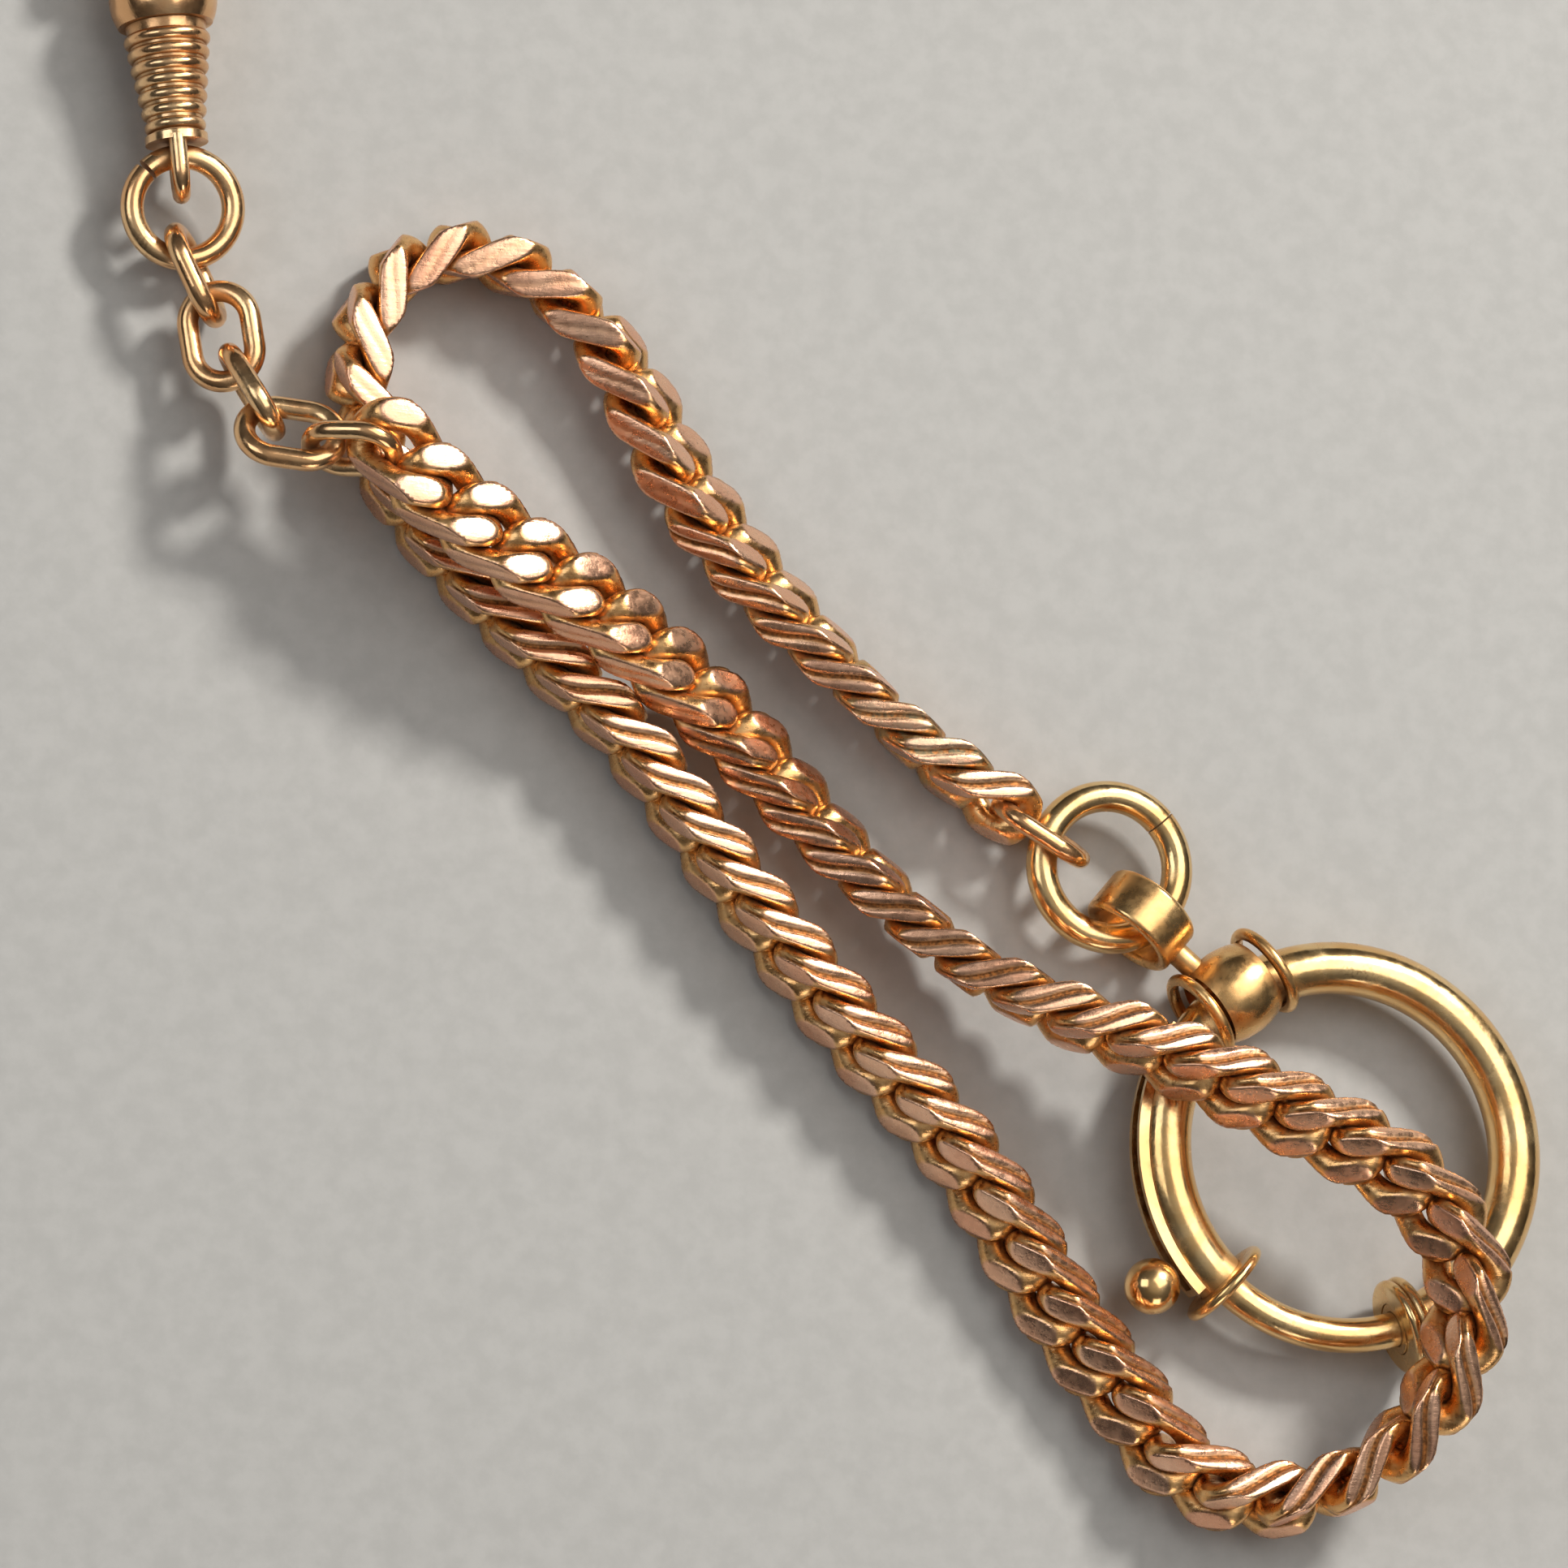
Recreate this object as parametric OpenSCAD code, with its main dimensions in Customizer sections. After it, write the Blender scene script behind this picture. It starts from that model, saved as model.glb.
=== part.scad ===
// Watch chain: a filed curb chain laid in a double loop, with a bolt ring on one end
// and a swivel clasp on a short cable chain on the other. Millimetres, +Z up.
// The origin is under the middle of the whole object, on the surface it lies on.

/* [Curb chain] */
// Distance from one curb link to the next
curb_pitch = 3.16; // [3.14:0.005:3.16]
// Diameter of the curb link wire
curb_wire = 1.3; // [1.1:0.01:1.3]
// Length of a curb link over the middle of its wire
curb_length = 4.76; // [4.7:0.01:4.8]
// Width of a curb link over the middle of its wire
curb_width = 3.32; // [3.28:0.01:3.36]
// Turn of each link's ends about the chain's line, in degrees
curb_twist = 57.6; // [55:0.1:60]
// Thickness that the filed flats leave
curb_thickness = 2.6; // [2.4:0.05:3]

/* [Cable chain] */
// Outer length of a cable link
cable_length = 5.8; // [5.7:0.1:5.9]
// Outer width of a cable link
cable_width = 4.3; // [4.2:0.1:4.4]
// Wire diameter of a cable link
cable_wire = 1.1; // [0.9:0.05:1.1]

/* [Bolt ring] */
// Radius of the bolt ring at the middle of its tube
ring_radius = 9.55; // [9.5:0.05:9.6]
// Outer diameter of the bolt ring's tube
ring_tube = 2.7; // [2.6:0.05:2.8]
// Bore of the bolt ring's tube
ring_bore = 1.9; // [1.8:0.05:2]
// Diameter of the collars on the tube
collar_diameter = 5.1; // [4.8:0.1:5.2]
// Diameter of the thumb ball
thumb_diameter = 2.9; // [2.4:0.1:3]

/* [Rings] */
// Outer diameter of the jump ring at the bolt ring
jump_outer = 9; // [8.8:0.1:9.2]
// Wire of the jump ring
jump_wire = 1.6; // [1.4:0.1:1.7]
// Outer diameter of the small ring at the clasp
small_outer = 6.4; // [6.3:0.1:6.5]
// Wire of the small ring
small_wire = 1.2; // [1:0.05:1.2]

/* [Swivel clasp] */
// Greatest diameter of the clasp's bulb
bulb_diameter = 5.5; // [5:0.1:5.6]
// Radius of the clasp's hook at the middle of its wire
hook_radius = 4; // [3.9:0.1:4.2]
// Diameter of the hook's wire
hook_wire = 1.7; // [1.5:0.1:1.8]

/* [Hidden] */
SEGMENTS = 14;
LINKS = 68;

rose = [0.86, 0.62, 0.47];
yellow = [0.87, 0.7, 0.4];
steel = [0.6, 0.6, 0.62];
smooth = 96;

// Line that the curb chain lies along: x, y, height and roll about the line in degrees.
route = [
    [-22.3, 15.8, 7.2, 0], [-19.8, 13.3, 7.1, -7], [-14.7, 9.9, 6.6, -14],
    [-10.2, 7.4, 5.7, -20], [-4.1, 3.4, 3.3, -30], [0.5, -1, 2.5, -45],
    [4.5, -5, 2.7, -60], [9, -9, 3.9, -75], [14.5, -12, 5.5, -95],
    [18.5, -13.5, 6.3, -106], [25.4, -16.6, 7, -125], [31.4, -19.6, 7.3, -128],
    [34.4, -23.6, 7.5, -125], [34.4, -27.6, 7.7, -113], [32.4, -32.1, 6.9, -98],
    [29, -35, 4.8, -81], [26, -36, 3.55, -72], [21.5, -35, 2.75, -62],
    [18.5, -31.5, 2.25, -50], [14.5, -26.5, 2.25, -51], [9.5, -19, 2.35, -67],
    [3.5, -12.5, 2.35, -72], [-2.5, -5.5, 2.45, -80], [-8.5, 2, 2.5, -88],
    [-13.5, 6.5, 2.5, -90], [-18, 11, 2.3, -92], [-21, 15, 2.5, -88],
    [-22.5, 19, 2.6, -84], [-22, 23, 2.4, -90], [-19.5, 26, 2.4, -84],
    [-16, 26.5, 2.5, -82], [-12.5, 25, 2.4, -76], [-9, 21.5, 2.3, -56],
    [-5.5, 15.5, 2.1, -40], [-2, 11, 2.2, -42], [2.5, 6.5, 2.3, -60],
    [7, 2.5, 2.4, -81], [12, -1, 2.5, -98]];

// ---- the curb chain's line ----
SPANS = 16;
function xyz(p) = [p[0], p[1], p[2]];
function unit(v) = v / norm(v);
function catmull(a, b, c, d, t) =
    0.5 * (2 * b + (c - a) * t + (2 * a - 5 * b + 4 * c - d) * t * t
           + (3 * b - a - 3 * c + d) * t * t * t);
last = len(route) - 1;
ends = [2 * route[0] - route[1], 2 * route[last] - route[last - 1]];
padded = concat([ends[0]], route, [ends[1]]);
curve = concat(
    [for (i = [1:last]) for (k = [0:SPANS - 1])
        catmull(padded[i - 1], padded[i], padded[i + 1], padded[i + 2], k / SPANS)],
    [route[last]]);
steps = [for (i = [1:len(curve) - 1]) norm(xyz(curve[i]) - xyz(curve[i - 1]))];
travelled = [for (i = 0, sum = 0; i <= len(steps);
                  sum = sum + (i < len(steps) ? steps[i] : 0), i = i + 1) sum];
tables = [for (c = [0:3]) [for (i = [0:len(curve) - 1]) [travelled[i], curve[i][c]]]];
function on_route(s) = [for (c = [0:3]) lookup(s, tables[c])];
joints = [for (k = [0:LINKS]) on_route(k * curb_pitch)];
headings = [for (k = [0:LINKS - 1]) unit(xyz(joints[k + 1]) - xyz(joints[k]))];

// A link's own axes: x along the chain, y across its face and z out of its face.
// In a bend each link also skews a little in its own face, which is how a curb chain folds.
FACE_SKEW = -0.19;
EDGE_SKEW = -0.08;
function turned(v, axis, angle) =
    v * cos(angle) + cross(axis, v) * sin(angle) + axis * (axis * v) * (1 - cos(angle));
function link_axes(k) =
    let (
        x = headings[k],
        level = unit(cross([0, 0, 1], x)),
        roll = (joints[k][3] + joints[k + 1][3]) / 2,
        y = turned(level, x, roll),
        z = cross(x, y),
        bend = cross(headings[max(k - 1, 0)], headings[min(k + 1, LINKS - 1)]) / 2,
        skew = EDGE_SKEW * (bend * z) * y + FACE_SKEW * (bend * y) * z,
        size = norm(skew),
        axis = size > 0 ? skew / size : z,
        angle = size * 180 / PI
    ) [turned(x, axis, angle), turned(y, axis, angle), turned(z, axis, angle)];
function link_centre(k) = (xyz(joints[k]) + xyz(joints[k + 1])) / 2;

// ---- one curb link ----
WIRE_RINGS = 16;
WIRE_SIDES = 8;
LENGTH_POWER = 0.8;
WIDTH_POWER = 0.84;
function signed_power(v, p) = sign(v) * pow(abs(v), p);
function wire_angle(t) = -curb_twist * signed_power(cos(t), LENGTH_POWER);
function wire_middle(t) =
    let (across = curb_width / 2 * signed_power(sin(t), WIDTH_POWER), a = wire_angle(t))
    [curb_length / 2 * signed_power(cos(t), LENGTH_POWER), across * cos(a), across * sin(a)];
function wire_ring(t) =
    let (
        along = unit(wire_middle(t + 2) - wire_middle(t - 2)),
        a = wire_angle(t),
        raw = [0, -sin(a), cos(a)],
        up = unit(raw - along * (along * raw)),
        side = cross(along, up)
    ) [for (j = [0:WIRE_SIDES - 1])
        let (b = (j + 0.5) * 360 / WIRE_SIDES,
             p = wire_middle(t) + curb_wire / 2 * (cos(b) * side + sin(b) * up))
        [p[0], p[1], max(-curb_thickness / 2, min(curb_thickness / 2, p[2]))]];
wire_points = [for (i = [0:WIRE_RINGS - 1]) each wire_ring((i + 0.5) * 360 / WIRE_RINGS)];
function tube_faces(rings, sides) =
    [for (i = [0:rings - 1]) for (j = [0:sides - 1])
        let (a = i * sides + j, b = i * sides + (j + 1) % sides,
             c = (i + 1) % rings * sides + (j + 1) % sides, d = (i + 1) % rings * sides + j)
        each [[a, b, c], [a, c, d]]];
wire_faces = tube_faces(WIRE_RINGS, WIRE_SIDES);

module curb_link(k) {
    axes = link_axes(k);
    middle = link_centre(k);
    points = [for (p = wire_points) middle + p[0] * axes[0] + p[1] * axes[1] + p[2] * axes[2]];
    polyhedron(points, wire_faces);
}

function first_link(segment) = floor((segment - 1) * LINKS / SEGMENTS);
module curb_links(segment) {
    color(rose) for (k = [first_link(segment):first_link(segment + 1) - 1]) curb_link(k);
}

// ---- shared shapes ----
module round_ring(outer, wire, seam = 0) {
    rotate([0, 0, seam / 2])
    rotate_extrude(angle = 360 - seam, $fn = smooth)
    translate([(outer - wire) / 2, 0]) circle(d = wire, $fn = 48);
}

// An oval link lying in its own XY plane, its length along X.
module oval_link(length, width, wire) {
    bend = (width - wire) / 2;
    straight = (length - width) / 2;
    for (side = [0, 180]) rotate([0, 0, side]) {
        translate([straight, 0, 0]) rotate([0, 0, -90])
            rotate_extrude(angle = 180, $fn = smooth)
            translate([bend, 0]) circle(d = wire, $fn = 48);
        translate([-straight, bend, 0]) rotate([0, 90, 0])
            cylinder(d = wire, h = 2 * straight, $fn = 48);
    }
}

// Puts its children at x, y, z, facing an azimuth and elevation, rolled about that line.
module posed(p) {
    translate([p[0], p[1], p[2]]) rotate([0, -p[4], p[3]]) rotate([p[5], 0, 0]) children();
}

// A wire given by its rings of points, closed at both ends.
module wire_coil(rings, sides) {
    count = len(rings) / sides;
    faces = concat(
        [[for (j = [0:sides - 1]) j]],
        [for (i = [0:count - 2]) for (j = [0:sides - 1])
            let (a = i * sides + j, b = i * sides + (j + 1) % sides)
            each [[a, b + sides, b], [a, a + sides, b + sides]]],
        [[for (j = [sides - 1:-1:0]) (count - 1) * sides + j]]);
    polyhedron(rings, faces);
}

// ---- links and ring between the curb chain and the bolt ring ----
connecting_pose = [13.57, -1.91, 2.48, -29.3, -3.9, 111.1];
connecting_length = 6;
connecting_width = 4.2;
connecting_wire = 1;
jump_middle = [17.33, -3.54, 2.32];
seam = 1.5;

module connecting_link() {
    color(yellow) posed(connecting_pose)
        oval_link(connecting_length, connecting_width, connecting_wire);
}

module jump_ring() {
    color(yellow) translate(jump_middle) rotate([1.3, 1.4, 0]) rotate([0, 0, 42])
        round_ring(jump_outer, jump_wire, seam);
}

// ---- bolt ring ----
ring_middle = [29.65, -17.85, 2.65];
swivel_at = 126;
swivel_pull = 0.3;
casing_end = 230;
catch_end = -73;
slot_from = 150;
slot_to = 222;
thumb_at = 215.5;
bolt_tail = 200;
bolt_tip = 290;
slide_fit = 0.05;
collar_fit = 0.02;
collar_thickness = 0.6;
rail_outer = ring_radius + ring_tube / 2 + 0.3;
rail_half = 0.8;
slot_half = 0.42;
stem_radius = 0.34;

module ring_arc(from, to, diameter) {
    translate(ring_middle) rotate([0, 0, from])
    rotate_extrude(angle = to - from, $fn = smooth)
    translate([ring_radius, 0]) circle(d = diameter, $fn = 48);
}

// Children in a frame on the tube: +X outward from the ring, +Z along the tube.
module on_ring(angle) {
    translate(ring_middle) rotate([0, 0, angle]) translate([ring_radius, 0, 0])
        rotate([-90, 0, 0]) children();
}

module collar(discs) {
    rim = collar_thickness / 2;
    bore = ring_tube / 2 + 2 * collar_fit;
    rotate_extrude($fn = smooth) for (i = [0:discs - 1])
        translate([0, (i - (discs - 1) / 2) * collar_thickness * 0.95]) {
            translate([bore, -rim]) square([collar_diameter / 2 - rim - bore, 2 * rim]);
            translate([collar_diameter / 2 - rim, 0]) circle(r = rim, $fn = 32);
        }
}

module ring_casing() {
    color(yellow) difference() {
        ring_arc(catch_end, casing_end, ring_tube);
        ring_arc(catch_end - 1, casing_end + 1, ring_bore);
        translate(ring_middle) rotate([0, 0, slot_from])
            rotate_extrude(angle = slot_to - slot_from, $fn = smooth)
            translate([ring_radius + 0.3, -slot_half]) square([2, 2 * slot_half]);
    }
}

module slot_rail() {
    color(yellow) translate(ring_middle) rotate([0, 0, slot_from - 4])
        difference() {
            rotate_extrude(angle = slot_to - slot_from + 6, $fn = smooth)
                difference() {
                    translate([ring_radius + 0.6, -rail_half])
                        square([rail_outer - ring_radius - 0.6, 2 * rail_half]);
                    translate([ring_radius, 0]) circle(d = ring_tube + 2 * collar_fit, $fn = 48);
                }
            rotate([0, 0, 4]) rotate_extrude(angle = slot_to - slot_from, $fn = smooth)
                translate([ring_radius, -slot_half]) square([3, 2 * slot_half]);
        }
}

module casing_collar() { color(yellow) on_ring(casing_end - 2.2) collar(1); }
module catch_collar() { color(yellow) on_ring(catch_end + 3.6) collar(2); }
module sliding_bolt() {
    color(yellow) difference() {
        ring_arc(bolt_tail, bolt_tip, ring_bore - 2 * slide_fit);
        on_ring(thumb_at) rotate([0, 90, 0]) cylinder(r = stem_radius + 0.01, h = 2, $fn = 32);
    }
}

thumb_reach = 3.1;
module thumb_piece() {
    color(yellow) on_ring(thumb_at) {
        translate([0.02, 0, 0]) rotate([0, 90, 0])
            cylinder(r = stem_radius, h = thumb_reach - 0.02, $fn = 32);
        translate([thumb_reach, 0, 0]) sphere(d = thumb_diameter, $fn = 64);
    }
}

stop_from = 100;
stop_to = 108;
module spring_stop() { color(steel) ring_arc(stop_from, stop_to, ring_bore - 2 * slide_fit); }

SPRING_TURNS = 14;
SPRING_STEPS = 9;
SPRING_SIDES = 4;
spring_wire = 0.3;
spring_coil = ring_bore / 2 - slide_fit - spring_wire / 2;
function spring_middle(turn) =
    let (share = turn / SPRING_TURNS,
         a = stop_to + 1.2 + share * (bolt_tail - stop_to - 2.4),
         r = ring_radius + spring_coil * cos(360 * turn))
    ring_middle + [r * cos(a), r * sin(a), spring_coil * sin(360 * turn)];
module bolt_spring() {
    count = SPRING_TURNS * SPRING_STEPS;
    color(steel) wire_coil(
        [for (i = [0:count]) let (
            p = spring_middle(i / SPRING_STEPS),
            ahead = unit(spring_middle((i + 0.3) / SPRING_STEPS) - spring_middle((i - 0.3) / SPRING_STEPS)),
            side = unit(cross(ahead, unit([p[1] - ring_middle[1], ring_middle[0] - p[0], 0]))),
            up = cross(ahead, side))
            for (j = [0:SPRING_SIDES - 1]) let (b = 360 * j / SPRING_SIDES)
                p + spring_wire / 2 * (cos(b) * side + sin(b) * up)],
        SPRING_SIDES);
}

// The swivel is a spool with a loose bore that hangs outward on the tube.
sleeve_half = 1.85;
swivel_bore = 2.08;
sleeve_radius = 2.4;
neck_radius = 0.62;
neck_base = 1.95;
bail_offset = 0.45;
bail_yaw = 14;
bail_reach = 6;
bail_outer = 2.6;
bail_inner = 1.95;
bail_strap = 2.6;

module on_swivel() { on_ring(swivel_at) translate([swivel_pull, 0, 0]) children(); }

module spool_collar() {
    rim = collar_thickness / 2;
    rotate_extrude($fn = smooth) {
        translate([swivel_bore, -rim]) square([collar_diameter / 2 - rim - swivel_bore, 2 * rim]);
        translate([collar_diameter / 2 - rim, 0]) circle(r = rim, $fn = 32);
    }
}

collar_at = sleeve_half + collar_thickness / 2 + collar_fit;
module swivel_collar_left() { color(yellow) on_swivel() translate([0, 0, collar_at]) spool_collar(); }
module swivel_collar_right() { color(yellow) on_swivel() translate([0, 0, -collar_at]) spool_collar(); }

module swivel_sleeve() {
    color(yellow) on_swivel() difference() {
        rotate_extrude($fn = smooth) intersection() {
            translate([swivel_bore, -sleeve_half]) square([2, 2 * sleeve_half]);
            translate([sleeve_radius - 4, 0]) circle(r = 4, $fn = smooth);
        }
        in_bail() rotate([0, 90, 0]) cylinder(r = neck_radius + collar_fit, h = 4, $fn = 48);
    }
}

module in_bail() { translate([0, 0, bail_offset]) rotate([0, -bail_yaw, 0]) children(); }

module bail() {
    middle = (bail_inner + bail_outer) / 2;
    thickness = bail_outer - bail_inner;
    color(yellow) on_swivel() in_bail() {
        translate([bail_reach, 0, 0]) rotate_extrude($fn = smooth) {
            translate([bail_inner, -(bail_strap - thickness) / 2])
                square([thickness, bail_strap - thickness]);
            for (side = [-1, 1]) translate([middle, side * (bail_strap - thickness) / 2])
                circle(d = thickness, $fn = 32);
        }
        translate([neck_base, 0, 0]) rotate([0, 90, 0])
            cylinder(r = neck_radius, h = bail_reach - middle - neck_base, $fn = 48);
    }
}

// ---- cable chain ----
cable_poses = [
    [-23.7, 15.1, 6.28, -5.2, 32.3, 67.1], [-26.57, 15.95, 5.11, -7.5, 10.3, -25.4],
    [-28.31, 18.29, 3.73, 116, -24, 76.2], [-29.73, 21.28, 2.85, 99.1, -2.5, -21.6],
    [-31.01, 24.46, 2.41, 115.9, -0.2, 65.9]];
bar_length = 5.3;
bar_width = 4;
bar_wire = 0.95;
module cable_link(k) {
    color(yellow) posed(cable_poses[k - 1])
        if (k == 1) oval_link(bar_length, bar_width, bar_wire);
        else oval_link(cable_length, cable_width, cable_wire);
}

small_middle = [-31.73, 27.9, 2.5];
module small_ring() {
    color(yellow) translate(small_middle) rotate([7.4, 0, 0]) rotate([0, 0, 138])
        round_ring(small_outer, small_wire, 5);
}

// ---- swivel clasp, along its own +Y from the barrel's small end ----
clasp_place = [-32.2, 31.6, 2.85];
clasp_turn = 6.3;
module in_clasp() { translate(clasp_place) rotate([0, 0, clasp_turn]) children(); }
module about_clasp() { in_clasp() rotate([-90, 0, 0]) children(); }

eye_half = 1.2;
eye_wire = 0.9;
eye_depth = 1.93;
eye_disc = 1.6;
eye_turn = 80;
stem_pivot = 0.6;
head_radius = 0.95;
pivot_fit = 0.05;
module swivel_eye() {
    color(yellow) about_clasp() rotate([0, 0, eye_turn]) {
        translate([0, 0, -eye_depth]) rotate([-90, 0, 0])
            rotate_extrude(angle = 180, $fn = smooth)
            translate([eye_half, 0]) circle(d = eye_wire, $fn = 48);
        for (side = [-1, 1]) translate([side * eye_half, 0, -eye_depth])
            cylinder(d = eye_wire, h = eye_depth - 0.3, $fn = 48);
        translate([0, 0, -0.5]) cylinder(r = eye_disc, h = 0.4, $fn = 64);
        translate([0, 0, -0.5]) cylinder(r = stem_pivot, h = 2.4, $fn = 48);
        translate([0, 0, 1.6]) cylinder(r = head_radius, h = 0.7, $fn = 48);
    }
}

RIBS = 7;
rib_pitch = 0.75;
cone_length = RIBS * rib_pitch;
cone_small = 1.3;
cone_large = 2.05;
module clasp_barrel() {
    color(yellow) about_clasp() difference() {
        union() {
            cylinder(r1 = cone_small, r2 = cone_large, h = cone_length + 0.4, $fn = smooth);
            for (i = [0:RIBS - 1])
                translate([0, 0, (i + 0.5) * rib_pitch])
                rotate_extrude($fn = smooth)
                translate([cone_small - 0.12 + (cone_large - cone_small) * (i + 0.5) / RIBS, 0])
                circle(r = 0.33, $fn = 32);
        }
        translate([0, 0, -1]) cylinder(r = stem_pivot + pivot_fit, h = 3, $fn = 48);
        translate([0, 0, 1.5]) cylinder(r = head_radius + pivot_fit, h = 6, $fn = 48);
    }
}

bulb_middle = cone_length + 1.75;
body_top = 9.6;
module clasp_bulb() {
    color(yellow) about_clasp() difference() {
        union() {
            intersection() {
                translate([0, 0, bulb_middle]) sphere(d = bulb_diameter, $fn = smooth);
                translate([0, 0, cone_length + 0.42]) cylinder(r = 4, h = 3.9, $fn = smooth);
            }
            translate([0, 0, bulb_middle]) cylinder(r = 1.5, h = body_top - bulb_middle, $fn = 64);
        }
        translate([0, 0, loop_y]) rotate([90, 0, 0]) rotate([0, 0, -150])
            rotate_extrude(angle = 120, $fn = smooth)
            translate([hook_radius, 0]) circle(d = hook_wire + 2 * collar_fit, $fn = 48);
    }
}

// The hook's loop lies in the clasp's XY plane; the gate closes its left side.
loop_y = body_top + hook_radius - 0.6;
hook_tip = 150;
pivot_at = 232;
cheek_radius = 1;
gate_eye = 0.8;
gate_eye_half = 0.3;
gate_wire = 1.2;
pin_radius = 0.3;
gate_fit = 0.05;
tip_gap = 0.15;
pivot = [hook_radius * cos(pivot_at), loop_y + hook_radius * sin(pivot_at), 0];
tip = [hook_radius * cos(hook_tip), loop_y + hook_radius * sin(hook_tip), 0];
gate_reach = norm(tip - pivot);

module loop_arc(from, to, diameter) {
    translate([0, loop_y, 0]) rotate([0, 0, from])
    rotate_extrude(angle = to - from, $fn = smooth)
    translate([hook_radius, 0]) circle(d = diameter, $fn = 48);
}

module clasp_hook() {
    color(yellow) in_clasp() difference() {
        union() {
            difference() {
                loop_arc(pivot_at - 360, hook_tip + 12, hook_wire);
                intersection() {
                    translate(pivot - [0, 0, 2])
                        cylinder(r = gate_reach + tip_gap, h = 4, $fn = smooth);
                    translate([-12, loop_y - 0.5, -2]) cube([11, 12, 4]);
                }
            }
            translate(pivot - [0, 0, hook_wire / 2]) cylinder(r = cheek_radius, h = hook_wire, $fn = 48);
        }
        translate(pivot - [0, 0, gate_eye_half + 0.08])
            cylinder(r = gate_eye + 0.75, h = 2 * gate_eye_half + 0.16, $fn = 48);
        translate(pivot - [0, 0, 2]) cylinder(r = pin_radius, h = 4, $fn = 48);
    }
}

module clasp_gate() {
    color(yellow) in_clasp() difference() {
        intersection() {
            union() {
                translate(pivot - [0, 0, gate_eye_half])
                    cylinder(r = gate_eye, h = 2 * gate_eye_half, $fn = 48);
                difference() {
                    loop_arc(hook_tip - 5, pivot_at, gate_wire);
                    for (side = [0, 180]) translate(pivot) rotate([side, 0, 0])
                        translate([0, 0, gate_eye_half]) cylinder(r = cheek_radius + 0.15, h = 2, $fn = 48);
                }
            }
            translate(pivot - [0, 0, 2]) cylinder(r = gate_reach, h = 4, $fn = smooth);
        }
        translate(pivot - [0, 0, 2]) cylinder(r = pin_radius + gate_fit, h = 4, $fn = 48);
    }
}

module gate_pin() {
    color(steel) in_clasp() translate(pivot - [0, 0, hook_wire / 2 + 0.15])
        cylinder(r = pin_radius - 0.01, h = hook_wire + 0.3, $fn = 48);
}

spring_outer = hook_radius - hook_wire / 2 - 0.03;
spring_strip = 0.2;
module gate_spring() {
    color(steel) in_clasp() translate([0, loop_y, 0]) rotate([0, 0, 200])
        rotate_extrude(angle = 74, $fn = smooth)
        translate([spring_outer - spring_strip, -0.35]) square([spring_strip, 0.7]);
}

// Moves the laid-out chain so that the origin is under its middle, at its lowest point.
to_origin = [-1.13, -5.78, -0.05];
module placed() { translate(to_origin) children(); }

placed() curb_links(1);  // curb_links_01
placed() curb_links(2);  // curb_links_02
placed() curb_links(3);  // curb_links_03
placed() curb_links(4);  // curb_links_04
placed() curb_links(5);  // curb_links_05
placed() curb_links(6);  // curb_links_06
placed() curb_links(7);  // curb_links_07
placed() curb_links(8);  // curb_links_08
placed() curb_links(9);  // curb_links_09
placed() curb_links(10);  // curb_links_10
placed() curb_links(11);  // curb_links_11
placed() curb_links(12);  // curb_links_12
placed() curb_links(13);  // curb_links_13
placed() curb_links(14);  // curb_links_14
placed() cable_link(1);  // cable_link_1
placed() cable_link(2);  // cable_link_2
placed() cable_link(3);  // cable_link_3
placed() cable_link(4);  // cable_link_4
placed() cable_link(5);  // cable_link_5
placed() connecting_link();
placed() jump_ring();
placed() bail();
placed() swivel_sleeve();
placed() swivel_collar_left();
placed() swivel_collar_right();
placed() ring_casing();
placed() casing_collar();
placed() catch_collar();
placed() slot_rail();
placed() sliding_bolt();
placed() thumb_piece();
placed() bolt_spring();
placed() spring_stop();
placed() small_ring();
placed() swivel_eye();
placed() clasp_barrel();
placed() clasp_bulb();
placed() clasp_hook();
placed() clasp_gate();
placed() gate_pin();
placed() gate_spring();
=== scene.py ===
import math

import bpy
import numpy as np
from mathutils import Matrix, Vector


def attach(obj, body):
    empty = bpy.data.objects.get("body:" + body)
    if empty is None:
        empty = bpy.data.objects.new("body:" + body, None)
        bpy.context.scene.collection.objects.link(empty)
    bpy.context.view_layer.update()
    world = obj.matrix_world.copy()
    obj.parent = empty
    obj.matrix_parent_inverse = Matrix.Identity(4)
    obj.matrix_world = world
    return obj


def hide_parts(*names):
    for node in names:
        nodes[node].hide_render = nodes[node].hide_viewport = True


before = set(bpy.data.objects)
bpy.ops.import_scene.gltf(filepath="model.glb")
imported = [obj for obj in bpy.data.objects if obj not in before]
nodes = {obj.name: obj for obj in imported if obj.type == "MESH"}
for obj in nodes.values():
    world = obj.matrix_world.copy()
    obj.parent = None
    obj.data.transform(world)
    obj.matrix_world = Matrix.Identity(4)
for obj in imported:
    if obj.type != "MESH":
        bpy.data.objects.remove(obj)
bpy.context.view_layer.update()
MM = 0.001
# The chain's line is given in millimetres, and this moves it to the frame's origin.
ORIGIN = np.array([-1.13, -5.78, -0.05])
scene = bpy.context.scene
scene.view_settings.view_transform = "Standard"


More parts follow.
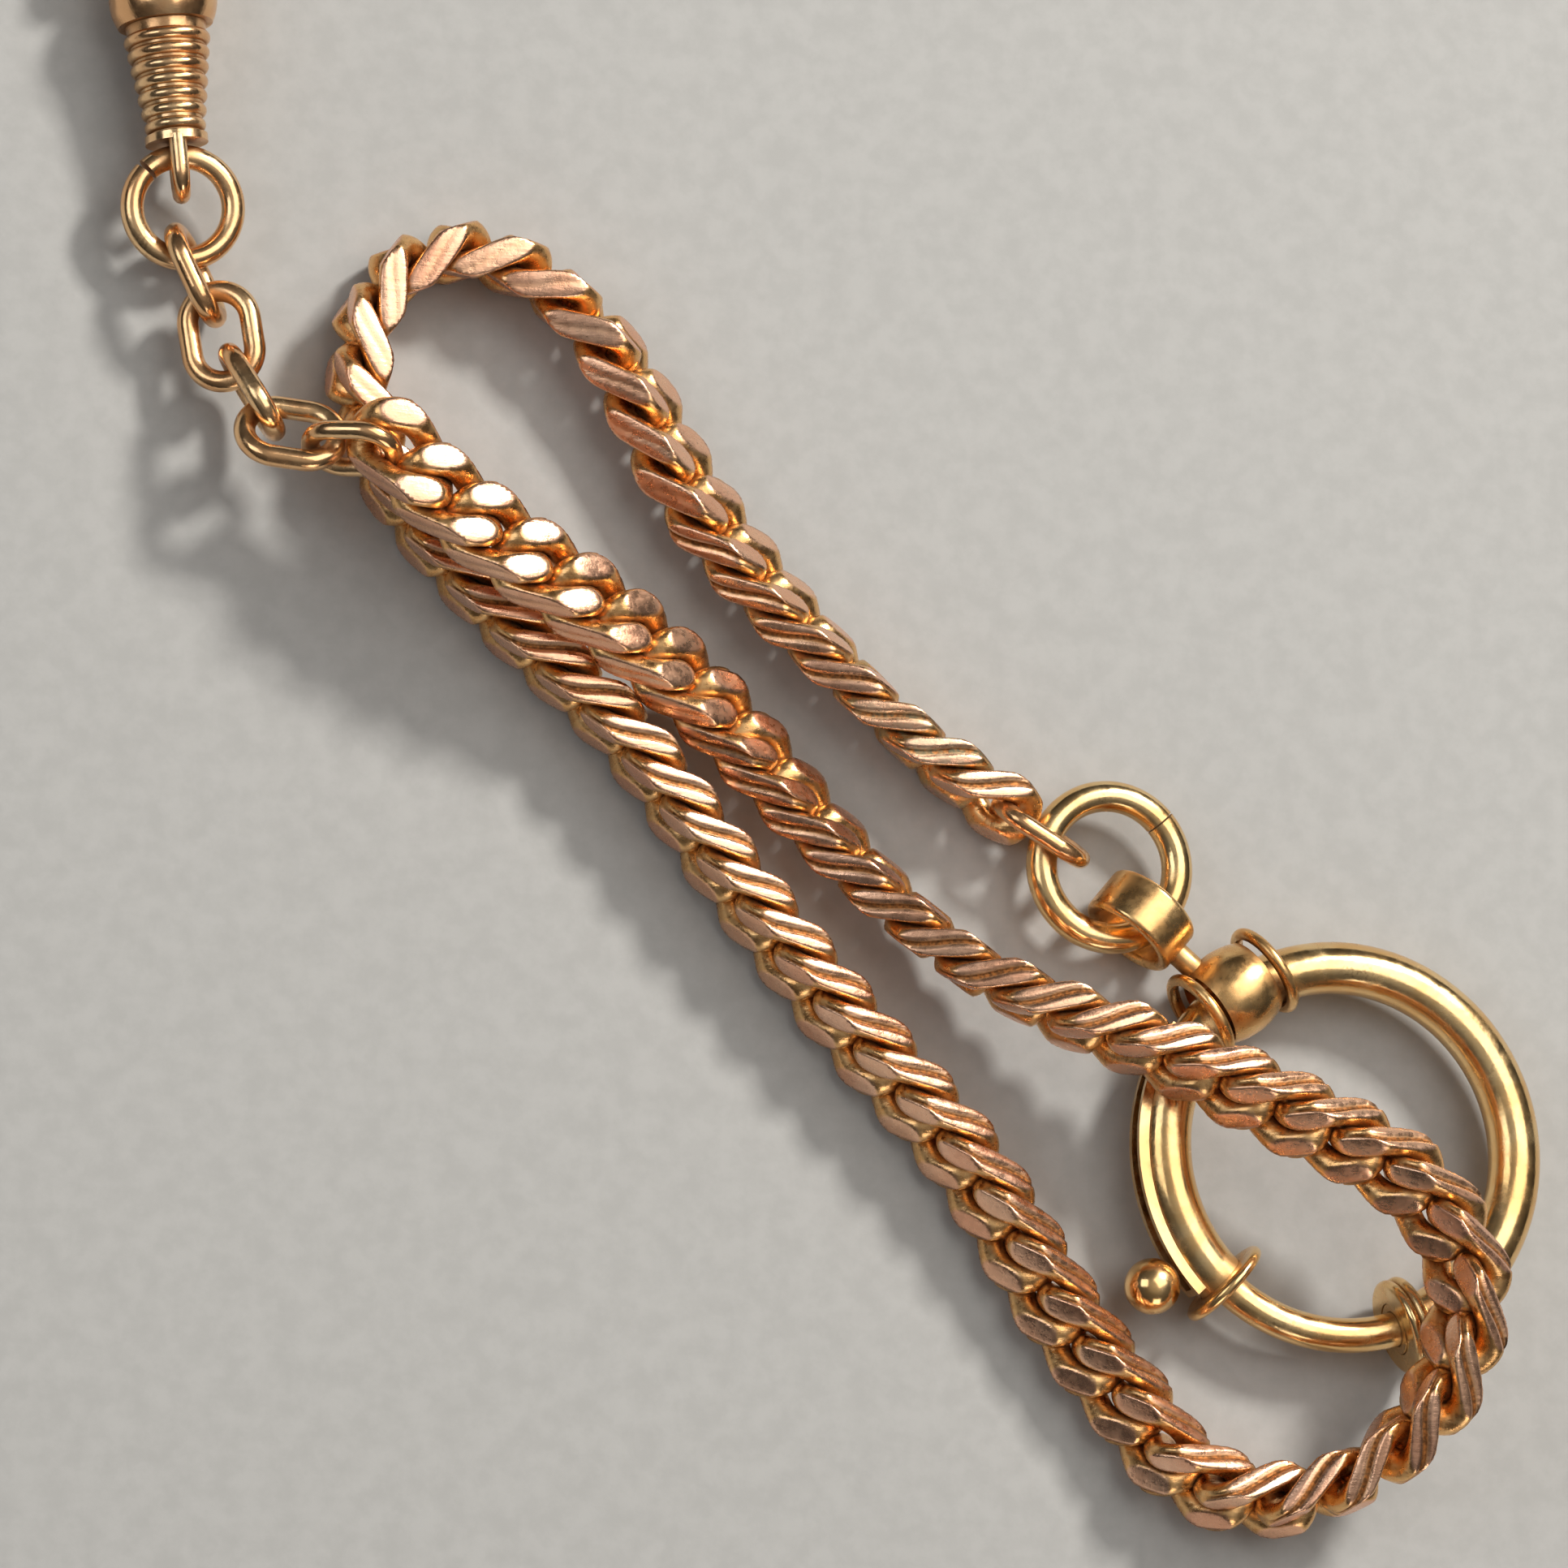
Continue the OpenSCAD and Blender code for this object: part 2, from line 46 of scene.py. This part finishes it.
# ---------------------------------------------------------------- camera
def make_camera():
    """Looks down on the chain from 19 degrees off the vertical, to the left and towards -Y."""
    tilt = math.radians(19.0)
    side = Vector((-0.83, -0.56, 0)).normalized()
    view = side * math.sin(tilt) + Vector((0, 0, math.cos(tilt)))
    target = Vector(ORIGIN * MM) + Vector((0, 0, 0.002))
    up = Vector((0, 1, 0))
    up = (up - view * up.dot(view)).normalized()
    right = up.cross(view).normalized()
    place = Matrix((right, up, view)).transposed().to_4x4()
    distance = 0.4
    place.translation = target + view * distance
    data = bpy.data.cameras.new("camera")
    data.lens = 180
    data.sensor_width = 36
    data.clip_start = 0.05
    data.clip_end = 5
    cam = bpy.data.objects.new("camera", data)
    cam.matrix_world = place
    scene.collection.objects.link(cam)
    scene.camera = cam


make_camera()


# ---------------------------------------------------------------- node helpers
class Shader:
    """A short way to write a node material."""

    def __init__(self, name):
        self.mat = bpy.data.materials.new(name)
        self.mat.use_nodes = True
        self.tree = self.mat.node_tree
        self.tree.nodes.clear()
        self.out = self.node("ShaderNodeOutputMaterial")
        self.coord = self.node("ShaderNodeTexCoord").outputs["Object"]

    def node(self, kind, **values):
        n = self.tree.nodes.new(kind)
        for k, v in values.items():
            setattr(n, k, v)
        return n

    def put(self, socket, value):
        if isinstance(value, bpy.types.NodeSocket):
            self.tree.links.new(value, socket)
        else:
            socket.default_value = value

    def mapped(self, scale, turn=(0, 0, 0)):
        n = self.node("ShaderNodeMapping")
        self.put(n.inputs["Vector"], self.coord)
        n.inputs["Scale"].default_value = scale
        n.inputs["Rotation"].default_value = turn
        return n.outputs[0]

    def noise(self, scale, detail=3.0, rough=0.55, vector=None, distortion=0.0):
        n = self.node("ShaderNodeTexNoise")
        self.put(n.inputs["Vector"], vector or self.coord)
        n.inputs["Scale"].default_value = scale
        n.inputs["Detail"].default_value = detail
        n.inputs["Roughness"].default_value = rough
        n.inputs["Distortion"].default_value = distortion
        return n.outputs["Fac"]

    def span(self, value, lo, hi, a=0.0, b=1.0):
        """A smooth step from a to b as the value goes from lo to hi."""
        n = self.node("ShaderNodeMapRange", clamp=True)
        n.interpolation_type = "SMOOTHSTEP"
        self.put(n.inputs["Value"], value)
        for key, v in zip(("From Min", "From Max", "To Min", "To Max"), (lo, hi, a, b)):
            self.put(n.inputs[key], v)
        return n.outputs["Result"]

    def math(self, op, a, b=0.0):
        n = self.node("ShaderNodeMath", operation=op)
        self.put(n.inputs[0], a)
        self.put(n.inputs[1], b)
        return n.outputs[0]

    def mix(self, fac, a, b):
        n = self.node("ShaderNodeMix", data_type="RGBA")
        self.put(n.inputs["Factor"], fac)
        for socket, value in ((n.inputs[6], a), (n.inputs[7], b)):
            self.put(socket, (*value, 1) if isinstance(value, tuple) else value)
        return n.outputs[2]

    def attribute(self, name):
        return self.node("ShaderNodeAttribute", attribute_name=name).outputs["Fac"]

    def bump(self, height, distance, strength=1.0, normal=None):
        n = self.node("ShaderNodeBump")
        n.inputs["Distance"].default_value = distance
        n.inputs["Strength"].default_value = strength
        self.put(n.inputs["Height"], height)
        if normal is not None:
            self.put(n.inputs["Normal"], normal)
        return n.outputs["Normal"]

    def crevice(self, distance):
        """1 in the open and 0 deep in a corner."""
        n = self.node("ShaderNodeAmbientOcclusion")
        n.samples = 6
        n.inputs["Distance"].default_value = distance
        return n.outputs["AO"]

    def surface(self, **values):
        b = self.node("ShaderNodeBsdfPrincipled")
        for key, v in values.items():
            socket = b.inputs[key.replace("_", " ")]
            self.put(socket, (*v, 1) if isinstance(v, tuple) else v)
        self.tree.links.new(b.outputs[0], self.out.inputs["Surface"])
        return self.mat


# ---------------------------------------------------------------- materials
def curb_metal():
    """Rose gold: pinkish filed flats, golden edges, brown painted shade in the crevices and a
    spot of green.
    """
    s = Shader("rose_gold_curb")
    flat = s.attribute("flat")
    near = s.attribute("near")
    tone = s.attribute("tone")
    broad = s.noise(260, 4, 0.6)
    fine = s.noise(1900, 4, 0.65)
    speck = s.noise(5200, 2, 0.5)
    shine = s.mix(s.span(broad, 0.35, 0.68), (0.84, 0.43, 0.27), (0.95, 0.58, 0.40))
    shine = s.mix(s.math("MULTIPLY", tone, 0.35), shine, (0.97, 0.62, 0.38))
    edge = s.mix(s.span(fine, 0.3, 0.7), (0.80, 0.42, 0.16), (0.93, 0.58, 0.26))
    body = s.mix(flat, edge, shine)
    # Painted shade: the metal turns dark brown where other links come near and in the groove,
    # broken up by noise.
    crevice_shade = s.span(s.math("ADD", near, s.math("MULTIPLY", fine, 0.55)), 0.62, 1.18)
    brown = s.mix(s.span(speck, 0.35, 0.65), (0.10, 0.035, 0.010), (0.38, 0.14, 0.035))
    body = s.mix(s.math("MULTIPLY", crevice_shade, 0.93), body, brown)
    spots = s.math("MULTIPLY", s.span(speck, 0.66, 0.76), s.span(broad, 0.5, 0.62))
    body = s.mix(s.math("MULTIPLY", spots, 0.6), body, (0.16, 0.09, 0.045))
    green = s.math("MULTIPLY", s.attribute("verdigris"), s.span(fine, 0.42, 0.56))
    body = s.mix(green, body, (0.10, 0.26, 0.19))
    lines = s.noise(1, 3, 0.6, s.mapped((700, 5200, 2400), (0, 0, 0.66)))
    rough = s.math("ADD", s.span(fine, 0.3, 0.75, 0.22, 0.38), s.math("MULTIPLY", crevice_shade, 0.3))
    normal = s.bump(lines, 0.00003, 0.55)
    normal = s.bump(fine, 0.00005, 0.5, normal)
    dull = s.math("ADD", green, s.math("MULTIPLY", crevice_shade, 0.3))
    return s.surface(Base_Color=body, Metallic=s.span(dull, 0.2, 1.1, 1.0, 0.35),
                     Roughness=rough, Normal=normal)


def gold(name, base, warm, corner_shade_and_patches=0.5, grain=900, rough=(0.14, 0.3)):
    """Yellow gold with brown painted shade in its corners, brown patches, and fine lines across
    it.
    """
    s = Shader(name)
    broad = s.noise(300, 4, 0.6, distortion=0.4)
    fine = s.noise(grain, 4, 0.62)
    speck = s.noise(4600, 3, 0.55)
    body = s.mix(s.span(broad, 0.38, 0.66), base, warm)
    # Painted shade: the metal turns brown where the ambient occlusion finds it shut in.
    open_air = s.crevice(0.0009)
    shut_in = s.math("SUBTRACT", s.math("MULTIPLY", fine, 0.5), s.math("MULTIPLY", open_air, 0.9))
    crevice_shade = s.span(shut_in, -0.62, -0.18)
    body = s.mix(s.math("MULTIPLY", crevice_shade, corner_shade_and_patches), body, (0.26, 0.13, 0.05))
    patch = s.math("MULTIPLY", s.span(broad, 0.58, 0.7), s.span(speck, 0.5, 0.62))
    body = s.mix(s.math("MULTIPLY", patch, corner_shade_and_patches), body, (0.42, 0.24, 0.10))
    lines = s.noise(1, 3, 0.6, s.mapped((900, 900, 5200)))
    normal = s.bump(lines, 0.00002, 0.4)
    normal = s.bump(broad, 0.00008, 0.35, normal)
    r = s.math("ADD", s.span(fine, 0.3, 0.75, *rough), s.math("MULTIPLY", crevice_shade, 0.25))
    return s.surface(Base_Color=body, Metallic=1.0, Roughness=r, Normal=normal)


def steel():
    s = Shader("spring_steel")
    fine = s.noise(1500, 3, 0.6)
    body = s.mix(s.span(fine, 0.35, 0.7), (0.42, 0.42, 0.43), (0.62, 0.61, 0.60))
    return s.surface(Base_Color=body, Metallic=1.0, Roughness=s.span(fine, 0.3, 0.7, 0.25, 0.42),
                     Normal=s.bump(fine, 0.00002, 0.5))


YELLOW = (0.88, 0.54, 0.22)
PALE = (0.96, 0.68, 0.34)
metal_curb = curb_metal()
metal_ring = gold("yellow_gold_ring", YELLOW, PALE, 0.45)
metal_link = gold("yellow_gold_links", (0.88, 0.50, 0.24), (0.96, 0.64, 0.34), 0.55, 1300)
metal_bail = gold("yellow_gold_bail", (0.80, 0.46, 0.18), (0.94, 0.62, 0.28), 0.8, 1100,
                  (0.2, 0.42))
metal_clasp = gold("yellow_gold_clasp", (0.86, 0.49, 0.24), (0.95, 0.64, 0.35), 0.6, 1100)
metal_steel = steel()

FINISH = {
    "ring_casing": metal_ring, "casing_collar": metal_ring, "catch_collar": metal_ring,
    "slot_rail": metal_ring, "sliding_bolt": metal_ring, "thumb_piece": metal_ring,
    "jump_ring": metal_ring, "bail": metal_bail, "swivel_sleeve": metal_bail,
    "swivel_collar_left": metal_bail, "swivel_collar_right": metal_bail,
    "connecting_link": metal_link, "small_ring": metal_link, "swivel_eye": metal_clasp,
    "clasp_barrel": metal_clasp, "clasp_bulb": metal_clasp, "clasp_hook": metal_clasp,
    "clasp_gate": metal_clasp, "bolt_spring": metal_steel, "spring_stop": metal_steel,
    "gate_pin": metal_steel, "gate_spring": metal_steel,
}
for name, node in nodes.items():
    look = FINISH.get(name) or (metal_curb if name.startswith("curb") else metal_link)
    node.data.materials.clear()
    node.data.materials.append(look)


# ---------------------------------------------------------------- mesh helper
def add_mesh(name, points, faces, material, attributes=None, smooth=True):
    mesh = bpy.data.meshes.new(name)
    mesh.from_pydata(np.asarray(points).tolist(), [], faces)
    mesh.update()
    if smooth:
        mesh.polygons.foreach_set("use_smooth", [True] * len(mesh.polygons))
    for key, values in (attributes or {}).items():
        layer = mesh.attributes.new(key, "FLOAT", "POINT")
        layer.data.foreach_set("value", np.asarray(values, np.float32))
    mesh.materials.append(material)
    obj = bpy.data.objects.new(name, mesh)
    scene.collection.objects.link(obj)
    return obj


# ---------------------------------------------------------------- the curb chain
# Millimetres. A link's own axes: x along the chain, y across its face, z out of its face.
SEGMENTS, LINKS, PITCH = 14, 68, 3.16
HALF_LENGTH, HALF_WIDTH, TWIST = 2.38, 1.66, math.radians(57.6)
LENGTH_POWER, WIDTH_POWER = 0.8, 0.84
EDGE_SKEW, FACE_SKEW = -0.08, -0.19
WIRE_WIDE, WIRE_THICK = 1.76, 1.46
FILED_FACE, FILED_EDGE = 1.26, 1.90
FILED_CROWN, FILED_BORDER = 0.12, 0.05
GROOVE, GROOVE_SPREAD = 0.27, 0.20
RINGS, SIDES = 84, 28
SPANS = 16
# A crevice, darkened in the material as painted shade, starts where another link's middle line is
# this near, and is full so much nearer.
CREVICE_FROM, CREVICE_DEPTH = 1.35, 0.65
GREEN_LINK, GREEN_SPREAD, GREEN_MOST = 65.6, 0.8, 0.45
# x, y, height and roll about the line in degrees, from the clasp's end to the ring's.
ROUTE = [
    (-22.3, 15.8, 7.2, 0), (-19.8, 13.3, 7.1, -7), (-14.7, 9.9, 6.6, -14),
    (-10.2, 7.4, 5.7, -20), (-4.1, 3.4, 3.3, -30), (0.5, -1, 2.5, -45),
    (4.5, -5, 2.7, -60), (9, -9, 3.9, -75), (14.5, -12, 5.5, -95),
    (18.5, -13.5, 6.3, -106), (25.4, -16.6, 7, -125), (31.4, -19.6, 7.3, -128),
    (34.4, -23.6, 7.5, -125), (34.4, -27.6, 7.7, -113), (32.4, -32.1, 6.9, -98),
    (29, -35, 4.8, -81), (26, -36, 3.55, -72), (21.5, -35, 2.75, -62),
    (18.5, -31.5, 2.25, -50), (14.5, -26.5, 2.25, -51), (9.5, -19, 2.35, -67),
    (3.5, -12.5, 2.35, -72), (-2.5, -5.5, 2.45, -80), (-8.5, 2, 2.5, -88),
    (-13.5, 6.5, 2.5, -90), (-18, 11, 2.3, -92), (-21, 15, 2.5, -88),
    (-22.5, 19, 2.6, -84), (-22, 23, 2.4, -90), (-19.5, 26, 2.4, -84),
    (-16, 26.5, 2.5, -82), (-12.5, 25, 2.4, -76), (-9, 21.5, 2.3, -56),
    (-5.5, 15.5, 2.1, -40), (-2, 11, 2.2, -42), (2.5, 6.5, 2.3, -60),
    (7, 2.5, 2.4, -81), (12, -1, 2.5, -98)]


def turn_about(vector):
    """The matrix that turns about a vector by its length in radians."""
    angle = np.linalg.norm(vector)
    if angle < 1e-9:
        return np.eye(3)
    x, y, z = vector / angle
    k = np.array([[0, -z, y], [z, 0, -x], [-y, x, 0]])
    return np.eye(3) + math.sin(angle) * k + (1 - math.cos(angle)) * k @ k


def chain_frames():
    """Each link's axes, as a matrix's columns, and its centre."""
    p = np.array(ROUTE, float)
    q = np.vstack([2 * p[0] - p[1], p, 2 * p[-1] - p[-2]])
    curve = []
    for i in range(1, len(q) - 2):
        a, b, c, d = q[i - 1:i + 3]
        for t in np.arange(SPANS) / SPANS:
            curve.append(0.5 * (2 * b + (c - a) * t + (2 * a - 5 * b + 4 * c - d) * t * t
                                + (3 * b - a - 3 * c + d) * t ** 3))
    curve = np.array(curve + [q[-2]])
    run = np.r_[0, np.cumsum(np.linalg.norm(np.diff(curve[:, :3], axis=0), axis=1))]
    at = np.arange(LINKS + 1) * PITCH
    j = np.stack([np.interp(at, run, curve[:, k]) for k in range(4)], 1)
    heads = np.diff(j[:, :3], axis=0)
    heads /= np.linalg.norm(heads, axis=1)[:, None]
    out = []
    for i in range(LINKS):
        x = heads[i]
        y = np.cross([0, 0, 1.0], x)
        y /= np.linalg.norm(y)
        z = np.cross(x, y)
        roll = math.radians((j[i, 3] + j[i + 1, 3]) / 2)
        y2 = math.cos(roll) * y + math.sin(roll) * z
        z2 = -math.sin(roll) * y + math.cos(roll) * z
        bend = np.cross(heads[max(i - 1, 0)], heads[min(i + 1, LINKS - 1)]) / 2
        skew = np.array([0, EDGE_SKEW * bend @ z2, FACE_SKEW * bend @ y2])
        m = np.stack([x, y2, z2], 1) @ turn_about(skew)
        out.append((m, (j[i, :3] + j[i + 1, :3]) / 2))
    return out


def power(v, p):
    return np.sign(v) * np.abs(v) ** p


def wire_middle(t):
    """The middle line of a link's wire, once round the link as t goes from 0 to 2 pi."""
    x = HALF_LENGTH * power(np.cos(t), LENGTH_POWER)
    across = HALF_WIDTH * power(np.sin(t), WIDTH_POWER)
    a = -TWIST * x / HALF_LENGTH
    return np.stack([x, across * np.cos(a), across * np.sin(a)], -1)


def link_shape(depth):
    """One link with a groove of this depth: points, faces, and how far each point is on a
    filed flat and in the groove."""
    t = (np.arange(RINGS) + 0.5) * 2 * math.pi / RINGS
    step = 0.03
    ahead = wire_middle(t + step) - wire_middle(t - step)
    ahead /= np.linalg.norm(ahead, axis=1)[:, None]
    mid = wire_middle(t)
    a = -TWIST * mid[:, 0] / HALF_LENGTH
    up = np.stack([0 * a, -np.sin(a), np.cos(a)], 1)
    up -= ahead * (ahead * up).sum(1)[:, None]
    up /= np.linalg.norm(up, axis=1)[:, None]
    side = np.cross(ahead, up)
    b = (np.arange(SIDES) + 0.5) * 2 * math.pi / SIDES
    pts = mid[:, None] + (WIRE_WIDE / 2 * np.cos(b)[None, :, None] * side[:, None]
                          + WIRE_THICK / 2 * np.sin(b)[None, :, None] * up[:, None])
    pts = pts.reshape(-1, 3)
    flat = np.zeros(len(pts))
    for axis, limit in ((2, FILED_FACE), (1, FILED_EDGE)):
        over = np.abs(pts[:, axis]) - limit
        flat = np.maximum(flat, np.clip(over / FILED_BORDER + 0.5, 0, 1))
        filed = np.sign(pts[:, axis]) * (limit + FILED_CROWN * over)
        pts[:, axis] = np.where(over > 0, filed, pts[:, axis])
    from_outside = np.minimum(b, 2 * math.pi - b)
    on_leg = np.clip(1.6 * (1 - np.abs(np.cos(t)) ** 3), 0, 1)
    groove = np.exp(-(from_outside / GROOVE_SPREAD) ** 2)[None, :] * on_leg[:, None]
    pts -= (depth * groove[:, :, None] * side[:, None]).reshape(-1, 3)
    groove = groove.ravel() * depth / GROOVE
    flat *= 1 - groove
    faces = []
    for i in range(RINGS):
        for j in range(SIDES):
            k = (i + 1) % RINGS
            l = (j + 1) % SIDES
            faces.append((i * SIDES + j, i * SIDES + l, k * SIDES + l, k * SIDES + j))
    return pts, faces, flat, groove


def wobble(k):
    """A fixed number between 0 and 1 that looks random from link to link."""
    v = math.sin(k * 12.9898 + 78.233) * 43758.5453
    return v - math.floor(v)


def distance_to(points, others, batch=240):
    """How far each point is from the nearest of the others."""
    gap = np.empty(len(points))
    for start in range(0, len(points), batch):
        d = points[start:start + batch, None] - others[None]
        gap[start:start + batch] = np.sqrt((d * d).sum(2).min(1))
    return gap


def build_chain():
    """One smooth piece for each curb node, riding on that node's body."""
    places = chain_frames()
    worn, loose = link_shape(GROOVE), link_shape(0.2 * GROOVE)
    line = wire_middle(np.arange(48) * 2 * math.pi / 48)
    lines = [line @ m.T + c for m, c in places]
    for seg in range(1, SEGMENTS + 1):
        first, last = (seg - 1) * LINKS // SEGMENTS, seg * LINKS // SEGMENTS
        pts, fcs, att = [], [], {"flat": [], "near": [], "tone": [], "verdigris": []}
        for k in range(first, last):
            m, c = places[k]
            # Links in the loose bend, and those on top seen face on, show almost no groove.
            in_bend = c[1] > 14 and c[2] < 4
            on_top = c[1] > 3 and c[2] > 3.2
            shape, faces, flat, groove = loose if in_bend or on_top else worn
            p = shape @ m.T + c
            around = range(max(0, k - 3), min(LINKS, k + 4))
            gap = distance_to(p, np.vstack([lines[i] for i in around if i != k]))
            before = sum(len(q) for q in pts)
            fcs += [tuple(v + before for v in f) for f in faces]
            pts.append(p)
            att["flat"].append(flat)
            # Painted shade: this value darkens the link where its neighbours come close and in
            # the groove.
            crevice = np.maximum((CREVICE_FROM - gap) / CREVICE_DEPTH, 1.2 * groove)
            att["near"].append(np.clip(crevice, 0, 1))
            att["tone"].append(np.full(len(p), wobble(k)))
            green = math.exp(-((k - GREEN_LINK) / GREEN_SPREAD) ** 2)
            att["verdigris"].append(np.full(len(p), green * GREEN_MOST))
        p = np.vstack(pts) + ORIGIN
        p[:, 2] = np.maximum(p[:, 2], 0)
        p *= MM
        obj = add_mesh(f"curb_chain_{seg:02d}", p, fcs, metal_curb,
                       {key: np.concatenate(v) for key, v in att.items()})
        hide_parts(f"curb_links_{seg:02d}")
        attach(obj, f"curb_{seg:02d}")


build_chain()


# ---------------------------------------------------------------- floor, light and world
def stage():
    """A pale floor, four soft lights and a plain studio sky."""
    s = Shader("pale_floor")
    fine = s.noise(700, 4, 0.6)
    body = s.mix(s.span(fine, 0.3, 0.7), (0.42, 0.42, 0.41), (0.46, 0.46, 0.45))
    mat = s.surface(Base_Color=body, Roughness=0.7, Normal=s.bump(fine, 0.00005, 0.25))
    mat.node_tree.nodes["Principled BSDF"].inputs["Specular IOR Level"].default_value = 0.3
    half = 1.5
    corners = [(-half, -half, 0), (half, -half, 0), (half, half, 0), (-half, half, 0)]
    floor = add_mesh("floor", corners, [(0, 1, 2, 3)], mat, smooth=False)
    for name, place, size, energy, colour in (
            ("key", (0.30, 0.34, 0.42), 0.10, 3.4, (1.0, 0.96, 0.90)),
            ("fill", (-0.45, 0.05, 0.40), 0.30, 0.5, (0.92, 0.96, 1.0)),
            ("top", (0.20, 0.14, 0.60), 0.50, 1.45, (1.0, 0.95, 0.89)),
            ("low", (0.10, -0.5, 0.16), 0.20, 0.35, (1.0, 0.90, 0.80))):
        data = bpy.data.lights.new(name, "AREA")
        data.size = size
        data.energy = energy
        data.color = colour
        lamp = bpy.data.objects.new(name, data)
        lamp.location = place
        lamp.rotation_euler = Vector(place).to_track_quat("Z", "Y").to_euler()
        scene.collection.objects.link(lamp)
    # The sky is dark at the horizon and brightest overhead.
    world = bpy.data.worlds.new("studio")
    world.use_nodes = True
    tree = world.node_tree
    coord = tree.nodes.new("ShaderNodeTexCoord")
    split = tree.nodes.new("ShaderNodeSeparateXYZ")
    ramp = tree.nodes.new("ShaderNodeValToRGB")
    tree.links.new(coord.outputs["Generated"], split.inputs[0])
    tree.links.new(split.outputs["Z"], ramp.inputs["Fac"])
    e = ramp.color_ramp.elements
    e[0].position, e[0].color = 0.0, (0.03, 0.032, 0.035, 1)
    e[1].position, e[1].color = 1.0, (0.75, 0.74, 0.72, 1)
    mid = e.new(0.72)
    mid.color = (0.22, 0.21, 0.20, 1)
    back = tree.nodes["Background"]
    tree.links.new(ramp.outputs["Color"], back.inputs["Color"])
    back.inputs["Strength"].default_value = 0.55
    scene.world = world


stage()
